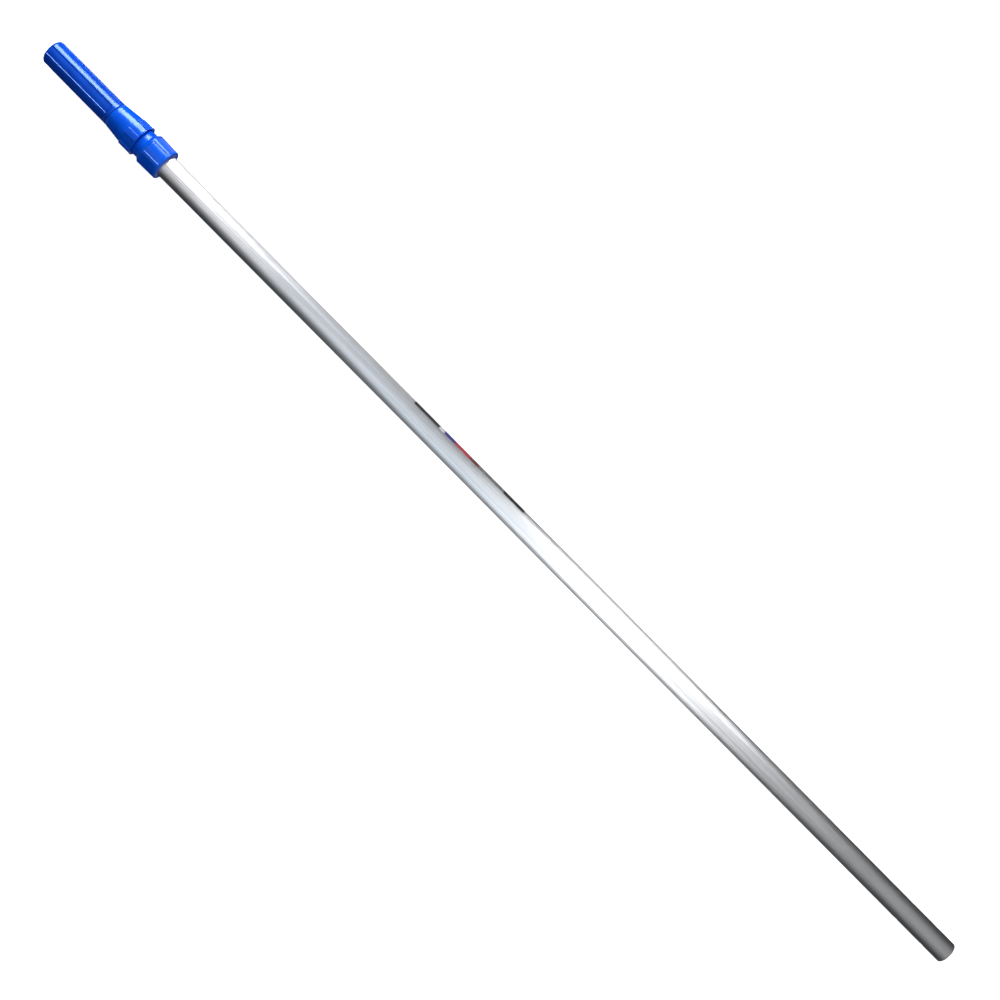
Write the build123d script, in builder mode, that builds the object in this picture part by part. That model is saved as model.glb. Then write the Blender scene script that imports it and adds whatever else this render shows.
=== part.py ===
"""Telescopic pole with an open tool socket, a twist-lock nut and a fluted hand grip.

Frame: +X runs along the pole's axis from the centre of the tool socket's mouth towards the hand
grip, and +Z is up with the pole lying level. Angles around the pole run from +Z towards +Y.
Lengths are in millimetres. The pole is closed and the lock nut is eased.
"""

from math import acos, cos, degrees, radians, sin
import os

from build123d import *

# Outer tube: 1 1/4 in extruded aluminium with shallow flutes, cut to a 1.5 m section.
TUBE_LENGTH = 1500.0
TUBE_R = 31.75 / 2
TUBE_BORE_R = 14.475
FLUTE_COUNT = 32
FLUTE_DEPTH = 0.2
FLUTE_R = 2.0

# Tool socket: the tube's mouth, reamed, with two pairs of snap-button holes across it.
SOCKET_R = 14.7
SOCKET_DEPTH = 150.0
BUTTON_HOLE_R = 3.3
BUTTON_HOLE_X = (32.0, 82.0)

# Inner tube, plain and thinner, and the plug that guides its hidden end.
INNER_R = 13.5
INNER_WALL = 1.2
INNER_START = 235.0
INNER_END = 1671.0
PLUG_HEAD_LENGTH = 28.0
PLUG_SPIGOT_LENGTH = 32.0
PLUG_RING_COUNT = 3
PLUG_RING_GROOVE = 4.0
PLUG_RING_DEPTH = 1.0
PLUG_RIVET_R = 1.6
PLUG_RIVET_X = INNER_START + 14.0

# Fits, as radial gaps.
FIXED_GAP = 0.03
RUNNING_GAP = 0.06
FREE_GAP = 0.35

# Lock body: collar over the tube's end, smooth neck, and a spigot that the nut screws onto.
COLLAR_START = 1472.2
COLLAR_END = 1502.6
COLLAR_START_R = 22.4
COLLAR_END_R = 23.0
COLLAR_RIM = 1.2
NECK_START = 1506.4
NECK_END = 1518.5
NECK_R = 19.35
SPIGOT_R = 18.6
SPIGOT_END = 1546.0
CONE_START = 1526.0
CONE_START_R = 15.0
CONE_END_R = 16.65
SHOULDER_X = 1511.0
SHOULDER_R = INNER_R + 0.6
PANEL_COUNT = 6
PANEL_WIDTH = 46.5
PANEL_MIDDLE = -8.0
PANEL_START = 1474.8
PANEL_END = 1501.2
PANEL_DEPTH = 0.85
PANEL_CORNER = 1.5

# Blind rivets through two of the panels into the tube's wall.
RIVET_X = 1481.5
RIVET_R = 1.6
RIVET_HEAD_R = 2.9
RIVET_HEAD_HEIGHT = 1.0
RIVET_HEAD_GAP = 0.1
RIVET_ANGLES = (PANEL_MIDDLE + 120.0, PANEL_MIDDLE + 240.0)

# Guide ring that centres the inner tube, free to turn between the tube's end and the shoulder.
GUIDE_END_GAP = 0.2
GUIDE_OUTER_GAP = 0.1

# Lock nut: tapered, with a thin flange and raised ribs at its large end, counterbored over the neck.
NUT_START = 1516.1
NUT_END = 1563.5
NUT_DRUM_END = 1531.0
NUT_DRUM_R = 21.9
NUT_END_R = 18.1
NUT_RIM = 0.5
NUT_MOUTH_DEPTH = 5.4
NUT_FLANGE = 1.2
NUT_THREAD_END = 1549.0
NUT_THREAD_GAP = 0.3
NUT_TRAVEL = 2.0
RIB_COUNT = 6
RIB_WIDTH = 22.0
RIB_MIDDLE = 8.0
RIB_R = 23.1
RIB_END = 1535.2
RIB_NOSE = 0.9

# Collet and the slip ring that the nut pushes it with.
COLLET_TIP = 1530.0
COLLET_HEAD_START = SPIGOT_END + NUT_TRAVEL + 0.5
COLLET_END = COLLET_HEAD_START + 2.5
COLLET_HEAD_R = 17.3
COLLET_CONE_GAP = 0.25
COLLET_SLOT = 1.6
COLLET_SLOT_COUNT = 6
SLIP_RING_THICKNESS = 1.4
SLIP_RING_BORE_GAP = 0.25
FACE_GAP = 0.05

# Hand grip: closed at its end, fluted with rounded flute ends beside the nut.
GRIP_START = 1564.0
GRIP_END = 1677.7
GRIP_START_R = 17.9
GRIP_END_R = 17.4
GRIP_END_ROUND = 4.0
GRIP_FLUTE_COUNT = 6
GRIP_FLUTE_WIDTH = 40.0
GRIP_FLUTE_MIDDLE = 3.3
GRIP_FLUTE_DEPTH = 1.0
GRIP_FLUTE_START = 1567.0
GRIP_FLUTE_CORNER = 4.0

# Printed film label, wrapped round the tube's crests.
LABEL_START = 825.0
LABEL_END = 1030.0
LABEL_THICKNESS = 0.12
LABEL_EDGE_ANGLE = -48.0
LABEL_WRAP = 150.0

# Turning by a positive angle about this axis goes from +Z towards +Y.
POLE_AXIS = Axis((0, 0, 0), (-1, 0, 0))
# How far a cutting tool stands clear of the surface that it cuts.
CLEAR = 2.0


def radial_plane(angle):
    """The plane that holds the pole's axis (local x) and the ray at this angle (local y)."""
    turn = radians(angle)
    return Plane(origin=(0, 0, 0), x_dir=(1, 0, 0), z_dir=(0, -cos(turn), sin(turn)))


def ray_plane(x, angle):
    """The plane at the pole's axis whose normal points outwards along the ray at this angle."""
    turn = radians(angle)
    return Plane(origin=(x, 0, 0), x_dir=(1, 0, 0), z_dir=(0, sin(turn), cos(turn)))


def turn(outline, start=0.0, arc=360.0, mode=Mode.ADD):
    """Turn an outline of (x, radius) points about the pole's axis, from a start angle."""
    with BuildSketch(radial_plane(start)) as profile:
        with BuildLine():
            Polyline(*outline, close=True)
        make_face()
    revolve(profile.sketch, axis=POLE_AXIS, revolution_arc=arc, mode=mode)


def cone_r(x):
    """Radius of the lock body's inner cone at x."""
    share = (x - CONE_START) / (SPIGOT_END - CONE_START)
    return CONE_START_R + share * (CONE_END_R - CONE_START_R)


def collar_r(x):
    """Outer radius of the lock body's collar at x."""
    share = (x - COLLAR_START) / (COLLAR_END - COLLAR_START)
    return COLLAR_START_R + share * (COLLAR_END_R - COLLAR_START_R)


def nut_cone_r(x):
    """Outer radius of the lock nut's tapered part at x."""
    share = (x - NUT_DRUM_END) / (NUT_END - NUT_RIM - NUT_DRUM_END)
    return NUT_DRUM_R + share * (NUT_END_R - NUT_DRUM_R)


def grip_r(x):
    """Outer radius of the grip's lands at x."""
    share = (x - GRIP_START) / (GRIP_END - GRIP_START)
    return GRIP_START_R + share * (GRIP_END_R - GRIP_START_R)


os.makedirs("parts", exist_ok=True)

# ---- Fixed to the outer pole ----

with BuildPart() as outer_tube:
    with BuildSketch(Plane.YZ):
        Circle(TUBE_R)
        with PolarLocations(TUBE_R + FLUTE_R - FLUTE_DEPTH, FLUTE_COUNT):
            Circle(FLUTE_R, mode=Mode.SUBTRACT)
        Circle(TUBE_BORE_R, mode=Mode.SUBTRACT)
    extrude(amount=TUBE_LENGTH)
    with BuildSketch(Plane.YZ):
        Circle(SOCKET_R)
    extrude(amount=SOCKET_DEPTH, mode=Mode.SUBTRACT)
    with BuildSketch(Plane.XZ):
        with Locations(*[(x, 0) for x in BUTTON_HOLE_X]):
            Circle(BUTTON_HOLE_R)
    extrude(amount=TUBE_R + CLEAR, both=True, mode=Mode.SUBTRACT)
    for angle in RIVET_ANGLES:
        with BuildSketch(ray_plane(RIVET_X, angle)):
            Circle(RIVET_R + FIXED_GAP)
        extrude(amount=TUBE_R + CLEAR, mode=Mode.SUBTRACT)

with BuildPart() as label:
    turn(
        (
            (LABEL_START, TUBE_R + FIXED_GAP),
            (LABEL_START, TUBE_R + FIXED_GAP + LABEL_THICKNESS),
            (LABEL_END, TUBE_R + FIXED_GAP + LABEL_THICKNESS),
            (LABEL_END, TUBE_R + FIXED_GAP),
        ),
        start=LABEL_EDGE_ANGLE - LABEL_WRAP,
        arc=LABEL_WRAP,
    )

# The space that one recessed panel takes out of the collar, at angle zero.
with BuildPart() as panel_space:
    turn(
        (
            (PANEL_START, collar_r(PANEL_START) - PANEL_DEPTH),
            (PANEL_START, COLLAR_END_R + CLEAR),
            (PANEL_END, COLLAR_END_R + CLEAR),
            (PANEL_END, collar_r(PANEL_END) - PANEL_DEPTH),
        ),
        start=-PANEL_WIDTH / 2,
        arc=PANEL_WIDTH,
    )
    fillet(panel_space.edges().filter_by(GeomType.LINE).filter_by(Axis.X, reverse=True), PANEL_CORNER)

with BuildPart() as lock_body:
    turn((
        (COLLAR_START, TUBE_R + FIXED_GAP),
        (COLLAR_START, COLLAR_START_R - COLLAR_RIM),
        (COLLAR_START + COLLAR_RIM, COLLAR_START_R),
        (COLLAR_END, COLLAR_END_R),
        (NECK_START, NECK_R),
        (NECK_END, NECK_R),
        (NECK_END, SPIGOT_R),
        (SPIGOT_END, SPIGOT_R),
        (SPIGOT_END, CONE_END_R),
        (CONE_START, CONE_START_R),
        (CONE_START, SHOULDER_R),
        (SHOULDER_X, SHOULDER_R),
        (SHOULDER_X, TUBE_R + FIXED_GAP),
    ))
    for number in range(PANEL_COUNT):
        turn_angle = PANEL_MIDDLE + 360.0 * number / PANEL_COUNT
        add(panel_space.part.rotate(POLE_AXIS, turn_angle), mode=Mode.SUBTRACT)
    for angle in RIVET_ANGLES:
        with BuildSketch(ray_plane(RIVET_X, angle)):
            Circle(RIVET_R + FIXED_GAP)
        extrude(amount=COLLAR_END_R + CLEAR, mode=Mode.SUBTRACT)

# One blind rivet, standing on +Z, with a domed head.
with BuildPart() as rivet:
    seat_r = collar_r(RIVET_X) - PANEL_DEPTH + RIVET_HEAD_GAP
    dome_r = (RIVET_HEAD_R**2 + RIVET_HEAD_HEIGHT**2) / (2 * RIVET_HEAD_HEIGHT)
    dome_edge_angle = degrees(acos(RIVET_HEAD_R / dome_r))
    with BuildSketch(radial_plane(0)):
        with BuildLine():
            dome = CenterArc(
                (RIVET_X, seat_r + RIVET_HEAD_HEIGHT - dome_r),
                dome_r,
                dome_edge_angle,
                90.0 - dome_edge_angle,
            )
            Polyline(
                dome @ 1,
                (RIVET_X, TUBE_BORE_R),
                (RIVET_X + RIVET_R, TUBE_BORE_R),
                (RIVET_X + RIVET_R, seat_r),
                dome @ 0,
            )
        make_face()
    revolve(axis=Axis((RIVET_X, 0, 0), (0, 0, 1)))

with BuildPart() as body_rivets:
    for angle in RIVET_ANGLES:
        add(rivet.part.rotate(POLE_AXIS, angle))

# ---- Turns in the lock body, and the inner pole slides through it ----

with BuildPart() as guide_ring:
    turn((
        (TUBE_LENGTH + GUIDE_END_GAP, INNER_R + RUNNING_GAP),
        (TUBE_LENGTH + GUIDE_END_GAP, TUBE_R - GUIDE_OUTER_GAP),
        (SHOULDER_X - GUIDE_END_GAP, TUBE_R - GUIDE_OUTER_GAP),
        (SHOULDER_X - GUIDE_END_GAP, INNER_R + RUNNING_GAP),
    ))

# ---- Clamp: collet, slip ring and nut ----

with BuildPart() as collet:
    collet_neck_r = CONE_END_R - COLLET_CONE_GAP
    turn((
        (COLLET_TIP, INNER_R + RUNNING_GAP),
        (COLLET_TIP, cone_r(COLLET_TIP) - COLLET_CONE_GAP),
        (SPIGOT_END, collet_neck_r),
        (COLLET_HEAD_START, collet_neck_r),
        (COLLET_HEAD_START, COLLET_HEAD_R),
        (COLLET_END, COLLET_HEAD_R),
        (COLLET_END, INNER_R + RUNNING_GAP),
    ))
    for number in range(COLLET_SLOT_COUNT):
        with BuildSketch(ray_plane(COLLET_TIP, 360.0 * number / COLLET_SLOT_COUNT)):
            Rectangle(2 * (SPIGOT_END - COLLET_TIP), COLLET_SLOT)
        extrude(amount=CONE_END_R + CLEAR, mode=Mode.SUBTRACT)

with BuildPart() as slip_ring:
    turn((
        (COLLET_END + FACE_GAP, INNER_R + SLIP_RING_BORE_GAP),
        (COLLET_END + FACE_GAP, COLLET_HEAD_R),
        (COLLET_END + FACE_GAP + SLIP_RING_THICKNESS, COLLET_HEAD_R),
        (COLLET_END + FACE_GAP + SLIP_RING_THICKNESS, INNER_R + SLIP_RING_BORE_GAP),
    ))

with BuildPart() as lock_nut:
    nut_shoulder = COLLET_END + SLIP_RING_THICKNESS + 2 * FACE_GAP
    turn((
        (NUT_START, NECK_R + FREE_GAP),
        (NUT_START, RIB_R - NUT_RIM),
        (NUT_START + NUT_RIM, RIB_R),
        (RIB_END - RIB_NOSE, RIB_R),
        (RIB_END, RIB_R - RIB_NOSE),
        (RIB_END, nut_cone_r(RIB_END)),
        (NUT_END - NUT_RIM, NUT_END_R),
        (NUT_END, NUT_END_R - NUT_RIM),
        (NUT_END, INNER_R + FREE_GAP),
        (nut_shoulder, INNER_R + FREE_GAP),
        (nut_shoulder, COLLET_HEAD_R + FREE_GAP),
        (NUT_THREAD_END, COLLET_HEAD_R + FREE_GAP),
        (NUT_THREAD_END, SPIGOT_R + NUT_THREAD_GAP),
        (NUT_START + NUT_MOUTH_DEPTH, SPIGOT_R + NUT_THREAD_GAP),
        (NUT_START + NUT_MOUTH_DEPTH, NECK_R + FREE_GAP),
    ))
    for number in range(RIB_COUNT):
        turn(
            (
                (NUT_START + NUT_FLANGE, NUT_DRUM_R),
                (NUT_START + NUT_FLANGE, RIB_R + CLEAR),
                (RIB_END, RIB_R + CLEAR),
                (RIB_END, nut_cone_r(RIB_END)),
                (NUT_DRUM_END, NUT_DRUM_R),
            ),
            start=RIB_MIDDLE + RIB_WIDTH / 2 + 360.0 * number / RIB_COUNT,
            arc=360.0 / RIB_COUNT - RIB_WIDTH,
            mode=Mode.SUBTRACT,
        )

# ---- Inner pole ----

with BuildPart() as inner_tube:
    with BuildSketch(Plane.YZ.offset(INNER_START)):
        Circle(INNER_R)
        Circle(INNER_R - INNER_WALL, mode=Mode.SUBTRACT)
    extrude(amount=INNER_END - INNER_START)
    with BuildSketch(Plane.XZ):
        with Locations((PLUG_RIVET_X, 0)):
            Circle(PLUG_RIVET_R + FIXED_GAP)
    extrude(amount=INNER_R + CLEAR, both=True, mode=Mode.SUBTRACT)

with BuildPart() as end_plug:
    head_start = INNER_START - PLUG_HEAD_LENGTH
    head_r = TUBE_BORE_R - RUNNING_GAP
    spigot_r = INNER_R - INNER_WALL - FIXED_GAP
    turn((
        (head_start, 0),
        (head_start, head_r),
        (INNER_START, head_r),
        (INNER_START, spigot_r),
        (INNER_START + PLUG_SPIGOT_LENGTH, spigot_r),
        (INNER_START + PLUG_SPIGOT_LENGTH, 0),
    ))
    ring_pitch = PLUG_HEAD_LENGTH / PLUG_RING_COUNT
    for number in range(1, PLUG_RING_COUNT):
        groove_middle = head_start + number * ring_pitch
        turn((
            (groove_middle - PLUG_RING_GROOVE / 2, head_r - PLUG_RING_DEPTH),
            (groove_middle - PLUG_RING_GROOVE / 2, head_r + CLEAR),
            (groove_middle + PLUG_RING_GROOVE / 2, head_r + CLEAR),
            (groove_middle + PLUG_RING_GROOVE / 2, head_r - PLUG_RING_DEPTH),
        ), mode=Mode.SUBTRACT)
    with BuildSketch(Plane.XZ):
        with Locations((PLUG_RIVET_X, 0)):
            Circle(PLUG_RIVET_R + FIXED_GAP)
    extrude(amount=INNER_R + CLEAR, both=True, mode=Mode.SUBTRACT)

with BuildPart() as end_plug_rivet:
    with BuildSketch(Plane.XZ):
        with Locations((PLUG_RIVET_X, 0)):
            Circle(PLUG_RIVET_R)
    extrude(amount=INNER_R - FIXED_GAP, both=True)

# The space that one flute takes out of the grip, at angle zero.
with BuildPart() as grip_flute:
    turn(
        (
            (GRIP_FLUTE_START, grip_r(GRIP_FLUTE_START) - GRIP_FLUTE_DEPTH),
            (GRIP_FLUTE_START, GRIP_START_R + CLEAR),
            (GRIP_END + CLEAR, GRIP_START_R + CLEAR),
            (GRIP_END + CLEAR, grip_r(GRIP_END + CLEAR) - GRIP_FLUTE_DEPTH),
        ),
        start=-GRIP_FLUTE_WIDTH / 2,
        arc=GRIP_FLUTE_WIDTH,
    )
    flute_corners = grip_flute.edges().filter_by(GeomType.LINE).filter_by(Axis.X, reverse=True)
    fillet(flute_corners.group_by(Axis.X)[0], GRIP_FLUTE_CORNER)

with BuildPart() as grip:
    turn((
        (GRIP_START, INNER_R + FIXED_GAP),
        (GRIP_START, GRIP_START_R),
        (GRIP_END, GRIP_END_R),
        (GRIP_END, 0),
        (INNER_END + FACE_GAP, 0),
        (INNER_END + FACE_GAP, INNER_R + FIXED_GAP),
    ))
    fillet(grip.edges().filter_by(GeomType.CIRCLE).sort_by(Axis.X)[-1], GRIP_END_ROUND)
    for number in range(GRIP_FLUTE_COUNT):
        turn_angle = GRIP_FLUTE_MIDDLE + 360.0 * number / GRIP_FLUTE_COUNT
        add(grip_flute.part.rotate(POLE_AXIS, turn_angle), mode=Mode.SUBTRACT)

PIECES = {
    "outer_tube": outer_tube,
    "label": label,
    "lock_body": lock_body,
    "body_rivets": body_rivets,
    "guide_ring": guide_ring,
    "collet": collet,
    "slip_ring": slip_ring,
    "lock_nut": lock_nut,
    "inner_tube": inner_tube,
    "end_plug": end_plug,
    "end_plug_rivet": end_plug_rivet,
    "grip": grip,
}
for name, piece in PIECES.items():
    piece.part.label = name
    export_step(piece.part, f"parts/{name}.step")
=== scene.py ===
"""Telescopic pole: finishes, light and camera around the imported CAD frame. Lengths in metres."""

import math

import bpy
import numpy as np
from mathutils import Matrix, Vector


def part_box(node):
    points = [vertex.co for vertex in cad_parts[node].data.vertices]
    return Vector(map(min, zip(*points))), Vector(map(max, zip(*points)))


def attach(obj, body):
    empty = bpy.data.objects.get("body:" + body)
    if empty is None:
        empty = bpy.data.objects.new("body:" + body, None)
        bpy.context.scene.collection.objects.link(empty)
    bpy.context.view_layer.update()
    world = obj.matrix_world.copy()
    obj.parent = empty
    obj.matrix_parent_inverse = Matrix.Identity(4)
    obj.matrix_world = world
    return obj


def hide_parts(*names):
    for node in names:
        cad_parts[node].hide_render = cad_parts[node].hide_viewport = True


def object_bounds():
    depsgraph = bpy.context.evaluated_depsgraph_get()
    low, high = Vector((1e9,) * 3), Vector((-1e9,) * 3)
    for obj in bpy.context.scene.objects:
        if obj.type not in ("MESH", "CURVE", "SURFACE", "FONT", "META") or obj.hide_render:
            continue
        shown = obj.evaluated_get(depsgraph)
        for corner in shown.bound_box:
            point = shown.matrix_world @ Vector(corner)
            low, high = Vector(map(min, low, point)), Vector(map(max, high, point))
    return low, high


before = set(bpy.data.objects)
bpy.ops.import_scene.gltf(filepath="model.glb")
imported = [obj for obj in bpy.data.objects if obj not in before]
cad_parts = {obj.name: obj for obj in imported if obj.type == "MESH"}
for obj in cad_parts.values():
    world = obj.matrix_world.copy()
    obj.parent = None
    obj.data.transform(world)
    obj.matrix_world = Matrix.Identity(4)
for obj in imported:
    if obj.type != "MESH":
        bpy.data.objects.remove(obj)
CAD_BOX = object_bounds()
MM = 0.001


# ---------------------------------------------------------------- objects and meshes

def add_object(name, data):
    """A new object in the scene."""
    made = bpy.data.objects.new(name, data)
    bpy.context.scene.collection.objects.link(made)
    return made


def add_mesh(name, vertices, faces, unit=1.0):
    """A new mesh object, from vertices given in this unit."""
    mesh = bpy.data.meshes.new(name)
    mesh.from_pydata([[c * unit for c in v] for v in vertices], [], faces)
    mesh.update()
    return add_object(name, mesh)


def smooth(edge0, edge1, value):
    """0 below edge0, 1 above edge1, and a smooth step between."""
    share = np.clip((value - edge0) / (edge1 - edge0), 0.0, 1.0)
    return share * share * (3.0 - 2.0 * share)


def spread(*stops):
    """Values along a line from (value, steps to the next) pairs; the last pair ends it."""
    values = []
    for (here, steps), (there, _) in zip(stops, stops[1:]):
        values += [here + (there - here) * n / steps for n in range(steps)]
    return values + [stops[-1][0]]


def arc(centre, radius, start, end, steps):
    """(x, r) points on an arc about centre, angles in degrees from +x towards +r."""
    angles = [math.radians(start + (end - start) * n / steps) for n in range(steps + 1)]
    return [(centre[0] + radius * math.cos(a), centre[1] + radius * math.sin(a)) for a in angles]


def line(start, end, steps):
    """(x, r) points from start to just before end."""
    return [
        (start[0] + (end[0] - start[0]) * n / steps, start[1] + (end[1] - start[1]) * n / steps)
        for n in range(steps)
    ]


def outer(points):
    """Marks (x, r) points as the outside, whose radius takes the relief."""
    return [(x, r, 1.0) for x, r in points]


def plain(points):
    """Marks (x, r) points as keeping their own radius."""
    return [(x, r, 0.0) for x, r in points]


def lathe(name, outline, angles, relief, closed):
    """A surface turned from marked (x, r) points in mm, with relief(x, angle) in mm added to the
    radius of the outer ones. Angles are degrees round the pole from +Z towards +Y. A closed outline
    joins its last point to its first; an open one starts and ends on the axis."""
    outline = np.array(outline)
    angles = np.array(angles)
    x = outline[:, 0:1]
    radius = outline[:, 1:2] + relief(x, angles[None, :]) * outline[:, 2:3]
    turn = np.radians(angles)[None, :]
    rows, columns = radius.shape
    along = np.broadcast_to(x, radius.shape)
    points = np.stack([along, radius * np.sin(turn), radius * np.cos(turn)], axis=2)
    faces = []
    for row in range(rows if closed else rows - 1):
        below = (row + 1) % rows
        for column in range(columns):
            beside = (column + 1) % columns
            faces.append((row * columns + column, row * columns + beside,
                          below * columns + beside, below * columns + column))
    vertices = points.reshape(-1, 3).tolist()
    if not closed:
        for row, turned_round in ((0, False), (rows - 1, True)):
            tip = len(vertices)
            vertices.append((float(outline[row, 0]), 0.0, 0.0))
            for column in range(columns):
                beside = (column + 1) % columns
                pair = (row * columns + column, row * columns + beside)
                faces.append((tip, *(pair if turned_round else pair[::-1])))
    return add_mesh(name, vertices, faces, MM)


def sdf_box(across, along, half_across, half_along, corner):
    """Signed distance inside a rounded rectangle, positive inside."""
    dx = np.abs(across) - (half_across - corner)
    dy = np.abs(along) - (half_along - corner)
    outside = np.hypot(np.maximum(dx, 0.0), np.maximum(dy, 0.0))
    inside = np.minimum(np.maximum(dx, dy), 0.0)
    return corner - outside - inside


def nearest_turn(angle, middle, count):
    """Degrees from the nearest of count features spaced evenly round the pole."""
    pitch = 360.0 / count
    return (angle - middle + pitch / 2) % pitch - pitch / 2


def feature_angles(middle, count, width, edge, corner_steps):
    """Angles round the pole, close together at both edges of each of count features."""
    pitch = 360.0 / count
    half = width / 2
    stops = (
        (-pitch / 2, 3),
        (-half - edge, 9),
        (-half + edge, corner_steps),
        (-half + 5 * edge, 6),
        (half - 5 * edge, corner_steps),
        (half - edge, 9),
        (half + edge, 3),
        (pitch / 2, 1),
    )
    one = spread(*stops)[:-1]
    return [middle + number * pitch + offset for number in range(count) for offset in one]


def with_seams(angles, seam, step):
    """The angles, with five close ones added across each of two parting lines half a turn apart."""
    extra = [seam + half + number * step for half in (0, 180) for number in range(-2, 3)]
    return sorted({round(angle % 360.0, 4) for angle in angles + extra})


def seam_ridge(angle, seam, step):
    """Height in mm of the fine ridge that a mould's parting line leaves."""
    ridge_height = 0.07
    return ridge_height * np.exp(-(nearest_turn(angle, seam, 2) / step) ** 2)


# ---------------------------------------------------------------- blue mouldings, in mm

def box_mm(name):
    """A CAD node's (lowest, highest) corners in millimetres."""
    low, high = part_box(name)
    return low / MM, high / MM


INNER_R = box_mm("inner_tube")[1].z
TUBE_R = 31.75 / 2


def make_grip():
    """Hand grip: six shallow flutes with rounded ends beside the nut, running out at the far end."""
    low, high = box_mm("grip")
    start, end = low.x, high.x
    start_r, end_r = 17.9, 17.4
    flute_start, depth, width, middle, count = start + 3.0, 1.0, 40.0, 3.3, 6
    # The flutes run on past the grip, and fade between these two places.
    half_along, fade_start, fade_end = 100.0, end - 2.5, end + 0.5
    corner, edge, run_in = 4.0, 0.35, 3.5
    seam, seam_step = 90.0, 0.7
    round_r, lip, chamfer = 4.0, 0.5, 0.3
    close_rows_end, dome_step = flute_start + corner + 6.0, 0.3
    bore_r, bore_end, bore_foot, bore_edge = INNER_R + 0.03, end - 6.65, 0.2, 0.1
    gate_r, gate_floor, gate_edge, gate_dip = 2.2, end - 0.35, 0.2, 0.1
    stub_r, stub_top, stub_foot, axis_r = 0.7, end - 0.2, 0.3, 0.4

    def relief(x, angle):
        across = np.radians(nearest_turn(angle, middle, count)) * start_r
        along = x - (flute_start + half_along)
        inside = sdf_box(across, along, math.radians(width / 2) * start_r, half_along, corner)
        flute = smooth(-edge, edge, inside) * smooth(flute_start, flute_start + run_in, x)
        return seam_ridge(angle, seam, seam_step) - depth * flute * smooth(fade_end, fade_start, x)

    def land(x):
        return start_r + (end_r - start_r) * (x - start) / (end - start)

    xs = spread((start + lip, 3), (flute_start - edge, 8), (flute_start + edge, 16),
                (flute_start + corner, 6), (close_rows_end, 10), (end - round_r, 1))
    wall = outer([(x, land(x)) for x in xs])
    dome = outer(arc((end - round_r, land(end) - round_r), round_r, 90, 0, 12)[1:])
    cap_rim, gate_rim = (end, land(end) - round_r - dome_step), (end, gate_r + gate_edge)
    cap = plain(line(cap_rim, gate_rim, 5)
                + [gate_rim, (end - gate_dip, gate_r), (gate_floor, gate_r - gate_edge),
                   (gate_floor, stub_r + stub_foot), (stub_top, stub_r), (stub_top, axis_r)])
    bore = plain([(bore_end, axis_r), (bore_end, bore_r - bore_edge), (bore_end, bore_r),
                  (bore_end - bore_foot, bore_r), (start + chamfer, bore_r),
                  (start, bore_r + chamfer)])
    mouth = plain(arc((start + lip, land(start) - lip), lip, 180, 96, 5))
    angles = feature_angles(middle, count, width, math.degrees(edge / start_r), 10)
    angles = with_seams(angles, seam, seam_step)
    # The outline runs from the bore's closed end to the gate mark; lathe closes both on the axis.
    piece = lathe("grip_moulding", bore + mouth + wall + dome + cap, angles, relief, closed=False)
    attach(piece, "inner_pole")
    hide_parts("grip")
    return piece


def make_lock_nut():
    """Lock nut: a cone that runs into a drum with six raised ribs."""
    low, high = box_mm("lock_nut")
    start, end = low.x, high.x
    drum_r, drum_end, end_r, flange = 21.9, start + 14.9, 18.1, 1.2
    rib_r, rib_end, width, middle, count = 23.1, start + 19.1, 22.0, 8.0, 6
    # The ribs run on past the nut's mouth, so only their far ends show.
    half_along, corner, edge, lip = 50.0, 1.2, 0.3, 0.5
    seam, seam_step = 98.0, 0.6
    neck_bore, thread_bore, chamber_r, shaft_r = 19.7, 18.9, 17.65, INNER_R + 0.35
    thread_start, thread_end = start + 5.4, start + 32.9
    shoulder = box_mm("slip_ring")[1].x + 0.05
    mouth_chamfer, tail_chamfer, past_rib = 0.3, 0.4, 2.0

    def body_r(x):
        slope = (end_r - drum_r) / (end - drum_end)
        return np.minimum(drum_r, drum_r + slope * (x - drum_end))

    def relief(x, angle):
        across = np.radians(nearest_turn(angle, middle, count)) * rib_r
        along = x - (rib_end - half_along)
        inside = sdf_box(across, along, math.radians(width / 2) * rib_r, half_along, corner)
        rib = smooth(-edge, edge, inside)
        rim = smooth(edge, -edge, x - (start + flange))
        raised = (rib_r - body_r(x)) * np.maximum(rib, rim)
        return raised + seam_ridge(angle, seam, seam_step) * (1.0 - rim)

    xs = spread((start + lip, 2), (start + flange - edge, 8), (start + flange + edge, 8),
                (rib_end - corner, 10), (rib_end - edge, 8), (rib_end + edge, 3),
                (rib_end + past_rib, 10), (end - lip, 1))
    wall = outer([(x, float(body_r(x))) for x in xs])
    rim = outer(arc((start + lip, drum_r - lip), lip, 180, 96, 5))
    tail = outer(arc((end - lip, end_r - lip), lip, 84, 0, 5))
    inside = plain([
        (end, shaft_r + tail_chamfer), (end - tail_chamfer, shaft_r),
        (shoulder, shaft_r), (shoulder, chamber_r),
        (thread_end, chamber_r), (thread_end, thread_bore),
        (thread_start, thread_bore), (thread_start, neck_bore),
        (start + mouth_chamfer, neck_bore), (start, neck_bore + mouth_chamfer),
    ])
    angles = feature_angles(middle, count, width, math.degrees(edge / rib_r), 6)
    angles = with_seams(angles, seam, seam_step)
    piece = lathe("lock_nut_moulding", rim + wall + tail + inside, angles, relief, closed=True)
    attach(piece, "nut")
    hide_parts("lock_nut")
    return piece


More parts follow.
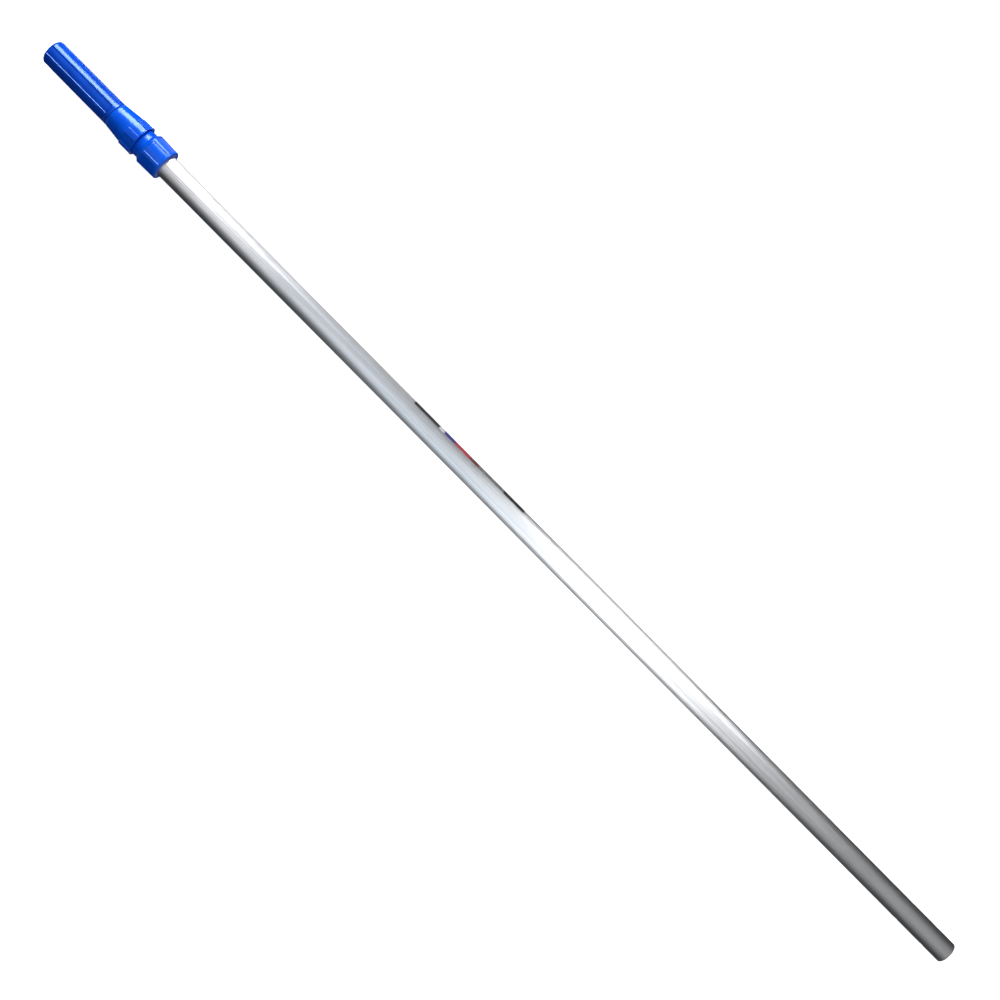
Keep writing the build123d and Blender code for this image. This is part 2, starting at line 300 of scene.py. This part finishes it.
def make_lock_body():
    """Lock body: collar with six recessed panels, bevel, neck and the spigot inside the nut."""
    low, high = box_mm("lock_body")
    start, end = low.x, high.x
    start_r, end_r, neck_r, spigot_r = 22.4, 23.0, 19.35, 18.6
    collar_end, neck_start, neck_end = start + 30.4, start + 34.2, start + 46.3
    panel_start, panel_end = start + 2.6, start + 29.0
    depth, width, middle, count = 0.85, 46.5, -8.0, 6
    corner, edge, lip = 1.5, 0.5, 1.5
    seam, seam_step = 82.0, 0.55
    tube_bore, ring_end, shoulder_r = TUBE_R + 0.03, start + 38.8, INNER_R + 0.6
    cone_start, cone_start_r, cone_end_r = start + 53.8, 15.0, 16.65
    neck_chamfer, mouth_chamfer, spigot_chamfer = 0.3, 0.3, 0.4
    before_bevel, bevel_edge, bevel_inset = 0.3, (0.1, 0.4), 0.6
    foot_run, foot_rise, foot_tail_rise, foot_tail = 0.3, 0.25, 0.06, 0.5

    def relief(x, angle):
        across = np.radians(nearest_turn(angle, middle, count)) * end_r
        along = x - (panel_start + panel_end) / 2
        half_along = (panel_end - panel_start) / 2
        inside = sdf_box(across, along, math.radians(width / 2) * end_r, half_along, corner)
        return seam_ridge(angle, seam, seam_step) - depth * smooth(-edge, edge, inside)

    def collar_r(x):
        return start_r + (end_r - start_r) * (x - start) / (collar_end - start)

    xs = spread((start + lip, 3), (panel_start - edge, 8), (panel_start + edge, 6),
                (panel_start + corner, 6), (panel_end - corner, 6), (panel_end - edge, 8),
                (panel_end + edge, 3), (collar_end - before_bevel, 1))
    wall = outer([(x, collar_r(x)) for x in xs])
    rim = plain(arc((start + lip, start_r - lip), lip, 180, 96, 5))
    bevel = plain([(collar_end + step, end_r - step) for step in bevel_edge]
                  + line((collar_end + bevel_inset, end_r - bevel_inset),
                         (neck_start - foot_run, neck_r + foot_rise), 4)
                  + [(neck_start, neck_r + foot_tail_rise), (neck_start + foot_tail, neck_r)])
    spigot = plain([
        (neck_end - neck_chamfer, neck_r), (neck_end, neck_r - neck_chamfer),
        (neck_end, spigot_r), (end - spigot_chamfer, spigot_r), (end, spigot_r - spigot_chamfer),
        (end, cone_end_r), (cone_start, cone_start_r), (cone_start, shoulder_r),
        (ring_end, shoulder_r), (ring_end, tube_bore),
        (start + mouth_chamfer, tube_bore), (start, tube_bore + mouth_chamfer),
    ])
    angles = feature_angles(middle, count, width, math.degrees(edge / end_r), 6)
    angles = with_seams(angles, seam, seam_step)
    outline = rim + wall + bevel + spigot
    piece = lathe("lock_body_moulding", outline, angles, relief, closed=True)
    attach(piece, "outer_pole")
    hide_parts("lock_body")
    return piece


def make_label():
    """Film label: a thin skin that dips a little into the tube's flutes."""
    low, high = box_mm("label")
    thickness, sag, flutes = 0.12, 0.05, 32
    film_r = TUBE_R + 0.03 + thickness
    edge_angle, wrap = -48.0, 150.0
    rows = np.array(spread((low.x, 40), (high.x, 1)))
    columns = np.radians(np.array(spread((edge_angle - wrap, 160), (edge_angle, 1))))
    dip = sag * (0.5 - 0.5 * np.cos(columns * flutes))
    vertices, faces = [], []
    for skin in (film_r - dip, film_r - dip - thickness):
        for x in rows:
            vertices += [(x, r * math.sin(a), r * math.cos(a)) for r, a in zip(skin, columns)]
    across, sheet = len(columns), len(rows) * len(columns)
    for row in range(len(rows) - 1):
        for column in range(across - 1):
            corner = row * across + column
            quad = (corner, corner + 1, corner + across + 1, corner + across)
            faces += [quad, tuple(sheet + v for v in quad[::-1])]
    last = (len(rows) - 1) * across
    for column in range(across - 1):
        here, beside = last + column, last + column + 1
        faces.append((column, sheet + column, sheet + column + 1, column + 1))
        faces.append((beside, sheet + beside, sheet + here, here))
    for row in range(len(rows) - 1):
        near, far = row * across, row * across + across - 1
        faces.append((near + across, sheet + near + across, sheet + near, near))
        faces.append((far, sheet + far, sheet + far + across, far + across))
    piece = add_mesh("label_film", vertices, faces, MM)
    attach(piece, "outer_pole")
    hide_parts("label")
    return piece


grip = make_grip()
lock_nut = make_lock_nut()
lock_body = make_lock_body()
label = make_label()


# ---------------------------------------------------------------- shader nodes

def material(name):
    """A new node material; returns it with its tree and its Principled shader."""
    made = bpy.data.materials.new(name)
    made.use_nodes = True
    return made, made.node_tree, made.node_tree.nodes["Principled BSDF"]


def fill(tree, socket, value):
    """Links a socket to another one, or sets it to a constant."""
    if isinstance(value, bpy.types.NodeSocket):
        tree.links.new(value, socket)
    else:
        socket.default_value = value


def node(tree, kind, inputs=(), **settings):
    """A shader node with its settings, and with its inputs linked or set by name or number."""
    made = tree.nodes.new("ShaderNode" + kind)
    for key, value in settings.items():
        setattr(made, key, value)
    for key, value in dict(inputs).items():
        fill(tree, made.inputs[key], value)
    return made


def maths(tree, operation, first, second=0.0):
    """The result of one arithmetic node."""
    return node(tree, "Math", {0: first, 1: second}, operation=operation).outputs[0]


def times(tree, first, second):
    """The product of two values."""
    return maths(tree, "MULTIPLY", first, second)


def remap(tree, value, low, high, to_low=0.0, to_high=1.0):
    """A value moved smoothly from one range to another, and held at its ends."""
    ranges = {"From Min": low, "From Max": high, "To Min": to_low, "To Max": to_high}
    made = node(tree, "MapRange", {"Value": value, **ranges}, interpolation_type="SMOOTHSTEP")
    return made.outputs["Result"]


def remap_linear(tree, value, low, high):
    """A value's share of the way from low to high."""
    return node(tree, "MapRange", {"Value": value, "From Min": low, "From Max": high}).outputs["Result"]


def blend(tree, share, first, second):
    """A colour between two colours."""
    made = node(tree, "Mix", data_type="RGBA")
    for key, value in (("Factor_Float", share), ("A_Color", first), ("B_Color", second)):
        fill(tree, next(s for s in made.inputs if s.identifier == key), value)
    return next(s for s in made.outputs if s.identifier == "Result_Color")


def colour_ramp(tree, share, stops, interpolation="LINEAR"):
    """The colour that (position, colour) stops give at this share."""
    made = node(tree, "ValToRGB", {"Fac": share})
    made.color_ramp.interpolation = interpolation
    elements = made.color_ramp.elements
    while len(elements) < len(stops):
        elements.new(1.0)
    for element, (position, colour) in zip(elements, stops):
        element.position = position
        element.color = colour
    return made.outputs["Color"]


def grey_ramp(tree, share, stops):
    """The grey that (position, level) stops give at this share."""
    return colour_ramp(tree, share, [(at, (level, level, level, 1.0)) for at, level in stops])


def noise(tree, vector, scale, detail=2.0, roughness=0.5):
    """Noise from 0 to 1."""
    inputs = {"Vector": vector, "Scale": scale, "Detail": detail, "Roughness": roughness}
    return node(tree, "TexNoise", inputs).outputs["Fac"]


def object_place(tree):
    """The object position socket, in metres."""
    return node(tree, "TexCoord").outputs["Object"]


def pole_axes(tree):
    """(object position, x, angle round the pole, distance from its axis), in metres and radians."""
    place = object_place(tree)
    axes = node(tree, "SeparateXYZ", {"Vector": place}).outputs
    angle = maths(tree, "ARCTAN2", axes["Y"], axes["Z"])
    squares = maths(tree, "ADD", times(tree, axes["Y"], axes["Y"]), times(tree, axes["Z"], axes["Z"]))
    return place, axes["X"], angle, maths(tree, "SQRT", squares)


def stretched(tree, x, angle, x_scale, angle_scale):
    """A vector for streaks that run along the pole or round it."""
    return node(tree, "CombineXYZ", {"X": times(tree, x, x_scale),
                                     "Y": times(tree, angle, angle_scale)}).outputs[0]


def bumps(tree, shader, *layers):
    """Adds (height socket, strength, distance) layers of bump to a shader."""
    normal = None
    for height, strength, distance in layers:
        inputs = {"Height": height, "Strength": strength, "Distance": distance}
        if normal is not None:
            inputs["Normal"] = normal
        normal = node(tree, "Bump", inputs).outputs["Normal"]
    tree.links.new(normal, shader.inputs["Normal"])


# ---------------------------------------------------------------- materials

def blue_plastic(name, deep, bright):
    """Glossy moulded plastic between two close blues, with ripple, scratches and worn crests."""
    made, tree, shader = material(name)
    place, x, angle, distance = pole_axes(tree)
    drift = noise(tree, place, scale=45.0, detail=3.0)
    ripple = noise(tree, place, scale=380.0)
    grain = noise(tree, place, scale=5200.0)
    patches = remap(tree, noise(tree, place, scale=70.0, detail=4.0, roughness=0.65), 0.46, 0.66)

    def scratches(x_scale, angle_scale):
        streaks = stretched(tree, x, angle, x_scale, angle_scale)
        return remap(tree, noise(tree, streaks, scale=1.0, detail=5.0, roughness=0.7), 0.60, 0.68)

    round_marks = scratches(x_scale=2600.0, angle_scale=3.0)
    long_marks = scratches(x_scale=34.0, angle_scale=95.0)
    marks = times(tree, maths(tree, "MAXIMUM", round_marks, long_marks), patches)
    crest_r, crest_top_r = 0.0228, 0.0231
    crest = remap(tree, distance, crest_r, crest_top_r)
    spots = noise(tree, place, scale=260.0, detail=6.0, roughness=0.75)
    rubbed = times(tree, crest, remap(tree, spots, 0.56, 0.70))
    worn = maths(tree, "MAXIMUM", marks, times(tree, rubbed, 0.5))

    scuffed = (0.20, 0.36, 0.85, 1.0)
    colour = blend(tree, remap(tree, drift, 0.35, 0.65), deep, bright)
    colour = blend(tree, times(tree, worn, 0.10), colour, scuffed)
    tree.links.new(colour, shader.inputs["Base Color"])
    polish = remap(tree, ripple, 0.3, 0.7, 0.17, 0.20)
    polish = maths(tree, "ADD", polish, times(tree, patches, 0.05))
    polish = maths(tree, "ADD", polish, times(tree, worn, 0.12))
    tree.links.new(polish, shader.inputs["Roughness"])
    shader.inputs["Specular IOR Level"].default_value = 0.42
    shader.inputs["Specular Tint"].default_value = (0.55, 0.85, 1.0, 1.0)
    bumps(tree, shader, (ripple, 0.04, 0.0001), (grain, 0.10, 0.00002), (worn, 0.04, 0.00002))
    return made


def drawn_aluminium(name, light, dark, streaks, roughness, flute_root=None):
    """Drawn aluminium: lengthwise die lines, cloudy anodising, grey specks, and painted shade low in the
    flutes.
    """
    made, tree, shader = material(name)
    place, x, angle, distance = pole_axes(tree)
    line_place = stretched(tree, x, angle, x_scale=1.2, angle_scale=streaks)
    cloud_place = stretched(tree, x, angle, x_scale=9.0, angle_scale=1.1)
    speck_place = stretched(tree, x, angle, x_scale=120.0, angle_scale=28.0)
    lines = noise(tree, line_place, scale=1.0, detail=4.0, roughness=0.6)
    cloud = noise(tree, cloud_place, scale=1.0, detail=4.0, roughness=0.6)
    specks = noise(tree, speck_place, scale=1.0, detail=6.0, roughness=0.8)
    marks = remap(tree, specks, 0.66, 0.74)
    speck_grey, painted_shade_grey, painted_shade_height = (0.35, 0.35, 0.36, 1.0), (0.42, 0.43, 0.46, 1.0), 0.00018
    colour = blend(tree, remap(tree, cloud, 0.3, 0.7), light, dark)
    colour = blend(tree, times(tree, marks, 0.25), colour, speck_grey)
    # Painted shade: the base colour turns greyer towards the roots of the flutes, where shade falls.
    if flute_root is not None:
        painted_flute_shade = remap(tree, distance, flute_root, flute_root + painted_shade_height, 0.35, 0.0)
        colour = blend(tree, painted_flute_shade, colour, painted_shade_grey)
    tree.links.new(colour, shader.inputs["Base Color"])
    shader.inputs["Metallic"].default_value = 1.0
    polish = remap(tree, lines, 0.3, 0.7, roughness - 0.05, roughness + 0.07)
    polish = maths(tree, "ADD", polish, times(tree, marks, 0.12))
    tree.links.new(polish, shader.inputs["Roughness"])
    frosting = noise(tree, place, scale=2600.0)
    bumps(tree, shader, (lines, 0.10, 0.00006), (frosting, 0.05, 0.00002))
    return made


def natural_nylon():
    """Off-white moulded nylon, slightly waxy."""
    made, tree, shader = material("natural_nylon")
    place = object_place(tree)
    darker, paler = (0.70, 0.68, 0.60, 1.0), (0.80, 0.79, 0.73, 1.0)
    colour = blend(tree, noise(tree, place, scale=120.0, detail=3.0), darker, paler)
    tree.links.new(colour, shader.inputs["Base Color"])
    polish = remap(tree, noise(tree, place, scale=900.0, detail=3.0), 0.3, 0.7, 0.38, 0.52)
    tree.links.new(polish, shader.inputs["Roughness"])
    shader.inputs["Subsurface Weight"].default_value = 0.15
    shader.inputs["Subsurface Scale"].default_value = 0.002
    bumps(tree, shader, (noise(tree, place, scale=1500.0, detail=3.0), 0.12, 0.00006))
    return made


def label_film():
    """Silvery film printed with plain blocks, a two-colour bar and rows of fine dashes."""
    made, tree, shader = material("label_film")
    low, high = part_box("label")
    place, x, angle, _ = pole_axes(tree)
    silver, black = (0.45, 0.46, 0.48, 1.0), (0.012, 0.012, 0.014, 1.0)
    blue, red = (0.028, 0.020, 0.17, 1.0), (0.32, 0.020, 0.030, 1.0)
    brown, grey = (0.10, 0.016, 0.018, 1.0), (0.16, 0.155, 0.15, 1.0)
    dash_ink, bare_film = (0.02, 0.02, 0.025, 1.0), (0.45, 0.45, 0.47, 1.0)
    share = remap_linear(tree, x, high.x, low.x)
    bands = ((0.0, black), (0.22, silver), (0.268, blue), (0.361, red), (0.50, brown),
             (0.575, grey), (0.80, black), (0.985, silver))
    ink = colour_ramp(tree, share, bands, "CONSTANT")

    # Rows of dashes: rows_per_radian round the pole, cut into cells along it, some left empty.
    rows_per_radian, cells_per_metre, row_shift, empty_share = 8.0, 260.0, 0.37, 0.40
    rows = times(tree, angle, rows_per_radian)
    row = maths(tree, "FRACT", rows)
    dash = times(tree, remap(tree, row, 0.18, 0.22), remap(tree, row, 0.80, 0.76))
    row_number = maths(tree, "FLOOR", rows)
    cells = maths(tree, "ADD", times(tree, x, cells_per_metre), times(tree, row_number, row_shift))
    cell = node(tree, "CombineXYZ", {"X": maths(tree, "FLOOR", cells), "Y": row_number}).outputs[0]
    draw = node(tree, "TexWhiteNoise", {"Vector": cell}).outputs["Value"]
    printed = maths(tree, "GREATER_THAN", draw, empty_share)
    zone = times(tree, remap(tree, share, 0.585, 0.590), remap(tree, share, 0.785, 0.780))
    print_mask = times(tree, times(tree, dash, printed), times(tree, zone, 0.95))
    colour = blend(tree, print_mask, ink, dash_ink)
    fading = times(tree, noise(tree, place, scale=260.0, detail=4.0), 0.03)
    tree.links.new(blend(tree, fading, colour, bare_film), shader.inputs["Base Color"])
    polish = remap(tree, noise(tree, place, scale=400.0, detail=3.0), 0.3, 0.7, 0.22, 0.34)
    tree.links.new(polish, shader.inputs["Roughness"])
    bumps(tree, shader, (noise(tree, place, scale=700.0), 0.04, 0.00003))
    return made


def finish(piece, coat):
    """Gives a piece one material, in every slot that it has."""
    slots = piece.data.materials
    for number in range(len(slots)):
        slots[number] = coat
    if not slots:
        slots.append(coat)


# Painted shade: the grip's copy of this blue is darker than the lock's, standing in for the dimmer light on
# the grip.
GRIP_BLUE = blue_plastic("grip_blue", (0.0002, 0.046, 0.43, 1.0), (0.0004, 0.058, 0.51, 1.0))
LOCK_BLUE = blue_plastic("lock_blue", (0.0002, 0.070, 0.60, 1.0), (0.0004, 0.086, 0.68, 1.0))
TUBE = drawn_aluminium("anodised_tube", (0.86, 0.87, 0.89, 1.0), (0.76, 0.775, 0.80, 1.0),
                       streaks=260.0, roughness=0.28, flute_root=0.01568)
PLAIN_TUBE = drawn_aluminium("plain_tube", (0.83, 0.84, 0.85, 1.0), (0.74, 0.75, 0.77, 1.0),
                             streaks=180.0, roughness=0.24)
RIVET = drawn_aluminium("rivet_aluminium", (0.80, 0.80, 0.81, 1.0), (0.68, 0.68, 0.70, 1.0),
                        streaks=90.0, roughness=0.30)
NYLON = natural_nylon()

for piece, coat in ((grip, GRIP_BLUE), (lock_nut, LOCK_BLUE), (lock_body, LOCK_BLUE),
                    (label, label_film())):
    finish(piece, coat)
    piece.data.shade_smooth()
for name, coat in (("outer_tube", TUBE), ("inner_tube", PLAIN_TUBE), ("body_rivets", RIVET),
                   ("end_plug_rivet", RIVET), ("guide_ring", NYLON), ("collet", NYLON),
                   ("slip_ring", NYLON), ("end_plug", NYLON)):
    finish(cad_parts[name], coat)


# ---------------------------------------------------------------- floor, camera and light

def make_backdrop():
    """A plain pale sweep: a floor under the pole that curves up into a far wall all round."""
    (start, _, floor), (end, _, _) = CAD_BOX
    middle = (start + end) / 2
    flat_r, wall_r, wall_top, turns, bend_steps = 9.0, 14.0, 16.0, 96, 12
    bend_r = wall_r - flat_r
    bend = [math.radians(90.0 * n / bend_steps) for n in range(bend_steps + 1)]
    profile = [(0.5, 0.0), (3.0, 0.0)]
    profile += [(flat_r + bend_r * math.sin(a), bend_r * (1.0 - math.cos(a))) for a in bend]
    profile.append((wall_r, wall_top))
    vertices = [(middle, 0.0, floor)]
    for r, height in profile:
        for turn in range(turns):
            a = math.tau * turn / turns
            vertices.append((middle + r * math.cos(a), r * math.sin(a), floor + height))
    faces = [(0, 1 + turn, 1 + (turn + 1) % turns) for turn in range(turns)]
    for ring in range(len(profile) - 1):
        for turn in range(turns):
            here, beside = 1 + ring * turns + turn, 1 + ring * turns + (turn + 1) % turns
            faces.append((here, here + turns, beside + turns, beside))
    backdrop = add_mesh("backdrop", vertices, faces)
    backdrop.data.shade_smooth()
    # It is only a background: the pole is lit and mirrored by the lights and the world alone.
    backdrop.visible_glossy = False
    backdrop.visible_diffuse = False
    backdrop.visible_shadow = False
    made, tree, shader = material("backdrop_paper")
    shader.inputs["Base Color"].default_value = (0.92, 0.92, 0.92, 1.0)
    shader.inputs["Roughness"].default_value = 0.9
    shader.inputs["Emission Color"].default_value = (1.0, 1.0, 1.0, 1.0)
    span = node(tree, "VectorMath", {0: object_place(tree)}, operation="LENGTH").outputs["Value"]
    glow = remap(tree, span, 2.0, 7.0, 0.80, 1.0)
    tree.links.new(glow, shader.inputs["Emission Strength"])
    backdrop.data.materials.append(made)


def make_camera():
    """The camera above the pole, with the pole running from top left to bottom right."""
    lens_mm, sensor_mm, distance = 52.46, 36.0, 1.9212
    aim = Vector((0.8606, -0.0026, 0.0))
    tilt = math.atan(0.0594)
    slant = math.radians(45.26)
    forward = Vector((-math.sin(tilt), 0.0, -math.cos(tilt)))
    to_tool, across = Vector((-1.0, 0.0, 0.0)), Vector((0.0, 1.0, 0.0))
    along = (to_tool - forward * forward.dot(to_tool)).normalized()
    right = along * math.cos(slant) - across * math.sin(slant)
    up = -along * math.sin(slant) - across * math.cos(slant)
    turn = Matrix((right, up, -forward)).transposed().to_4x4()
    camera = add_object("camera", bpy.data.cameras.new("camera"))
    camera.data.lens = lens_mm
    camera.data.sensor_width = sensor_mm
    camera.data.clip_end = 100.0
    camera.matrix_world = Matrix.Translation(aim - forward * distance) @ turn
    bpy.context.scene.camera = camera


def make_world():
    """Dim studio surroundings: a grey ceiling, a dark horizon, and paler stretches of floor below."""
    world = bpy.data.worlds.new("studio")
    bpy.context.scene.world = world
    world.use_nodes = True
    tree = world.node_tree
    direction = node(tree, "TexCoord").outputs["Generated"]
    axes = node(tree, "SeparateXYZ", {"Vector": direction}).outputs
    black = (0.0, 0.0, 0.0, 1.0)
    ceiling = remap(tree, axes["Z"], 0.05, 0.95, 0.01, 0.32)
    ceiling = times(tree, ceiling, remap(tree, axes["X"], -0.5, 0.6, 1.1, 0.45))
    along = remap_linear(tree, axes["X"], -1.0, 1.0)
    ground = grey_ramp(tree, along, (
        (0.0, 0.30), (0.12, 0.30), (0.18, 0.01), (0.33, 0.01), (0.39, 0.30),
        (0.50, 0.25), (0.56, 0.02), (0.725, 0.02), (0.825, 0.25), (1.0, 0.25)))
    # Low on the -Y side there is a bright stretch, which the tube shows as a pale edge by the collar.
    card = grey_ramp(tree, along, (
        (0.0, 0.0), (0.495, 0.0), (0.52, 0.40), (0.56, 0.45),
        (0.585, 1.1), (0.618, 1.3), (0.635, 0.0), (1.0, 0.0)))
    with_card = node(tree, "VectorMath", {0: ground, 1: card}, operation="ADD").outputs[0]
    ground = blend(tree, remap(tree, axes["Y"], -0.35, -0.60), ground, with_card)
    height = remap(tree, axes["Z"], -0.20, 0.05)
    ground = blend(tree, height, ground, black)
    above = times(tree, ceiling, height)
    # The wall beyond the tool end is paler, so the tube's cut end doesn't go black.
    wall = remap(tree, axes["X"], -0.80, -0.95, 0.0, 0.4)
    light = maths(tree, "MAXIMUM", maths(tree, "ADD", ground, above), wall)
    tree.links.new(light, tree.nodes["Background"].inputs["Color"])


def softbox(name, x_from, x_to, lean_deg, width, radiance, beam_deg, tint):
    """A soft light over this stretch of x, leaning from overhead towards -Y and aimed at the pole."""
    distance = 1.5
    lean = math.radians(lean_deg)
    length = x_to - x_from
    light = bpy.data.lights.new(name, "AREA")
    light.shape = "RECTANGLE"
    light.size = length
    light.size_y = width
    light.spread = math.radians(beam_deg)
    # Blender puts the whole energy into the beam, so a narrower one needs less for this radiance.
    half_beam = light.spread / 2
    beam_share = 1.0 - half_beam / math.tan(half_beam)
    light.energy = radiance * math.pi * length * width * beam_share
    light.color = tint
    lamp = add_object(name, light)
    out = Vector((0.0, -math.sin(lean), math.cos(lean)))
    side = Vector((1.0, 0.0, 0.0))
    turn = Matrix((side, out.cross(side), out)).transposed().to_4x4()
    lamp.matrix_world = Matrix.Translation(out * distance + side * (x_from + x_to) / 2) @ turn
    lamp.visible_camera = False


make_backdrop()
make_camera()
make_world()
NEUTRAL, COOL = (1.0, 1.0, 1.0), (0.80, 0.90, 1.0)
# Name, start and end along x, lean, width, radiance, beam and tint. Together they make the tube
# brightest between about 0.5 m and 0.75 m from its tool end, fairly pale beside the collar, and
# grey at the tool end.
SOFTBOXES = (
    ("key_middle", 0.10, 0.60, 62.0, 1.6, 6.5, 100.0, NEUTRAL),
    ("top_middle", 0.10, 0.60, 0.0, 1.6, 2.6, 90.0, NEUTRAL),
    ("side_middle", 0.10, 0.60, -62.0, 1.6, 3.8, 90.0, NEUTRAL),
    ("top_centre", 0.60, 0.92, 0.0, 1.6, 1.05, 110.0, COOL),
    ("top_gap", 0.92, 1.08, 0.0, 1.6, 0.22, 110.0, COOL),
    ("side_centre", 0.60, 1.10, -62.0, 1.6, 1.3, 90.0, COOL),
    ("key_far", 1.10, 1.70, 62.0, 1.6, 0.60, 140.0, COOL),
    ("fill_near", 1.08, 1.32, -22.0, 2.2, 1.25, 110.0, COOL),
    ("fill_far", 1.32, 1.50, -15.0, 1.8, 0.22, 110.0, COOL),
    ("fill_collar", 1.50, 1.85, -18.0, 1.8, 1.55, 110.0, NEUTRAL),
    ("top_grip", 1.85, 2.40, 15.0, 1.2, 0.40, 120.0, NEUTRAL),
    ("key_grip", 1.84, 2.64, 63.0, 0.95, 21.0, 180.0, NEUTRAL),
)
for lamp_settings in SOFTBOXES:
    softbox(*lamp_settings)
bpy.context.scene.view_settings.view_transform = "Standard"
